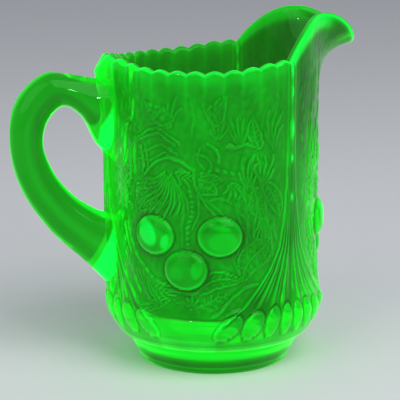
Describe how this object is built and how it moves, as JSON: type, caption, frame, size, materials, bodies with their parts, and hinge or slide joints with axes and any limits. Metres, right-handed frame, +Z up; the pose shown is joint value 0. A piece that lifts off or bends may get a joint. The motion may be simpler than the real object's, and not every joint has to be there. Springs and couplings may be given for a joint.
{
  "type": "pressed glass pitcher",
  "caption": "Tall pressed glass pitcher with a cherry and leaf relief, scalloped rim, high pouring lip, thick loop handle and collar foot.",
  "frame": {"origin": "centre of the bounding box at the level of the foot's underside; the bowl's axis is 17.3 mm towards +X from it", "axes": "+Z up, +X towards the pouring lip, -X towards the handle, Y across the pitcher"},
  "size_m": [0.2038, 0.1292, 0.2034],
  "materials": {
    "bowl_glass": "fire-polished uranium glass, glowing green under ultraviolet light",
    "handle_glass": "smooth thick uranium glass, glowing green under ultraviolet light",
    "foot_glass": "pressed uranium glass ring, dimmer than the bowl"
  },
  "bodies": {
    "root": {"bowl": "bowl_glass", "handle": "handle_glass", "foot": "foot_glass"}
  },
  "joints": []
}
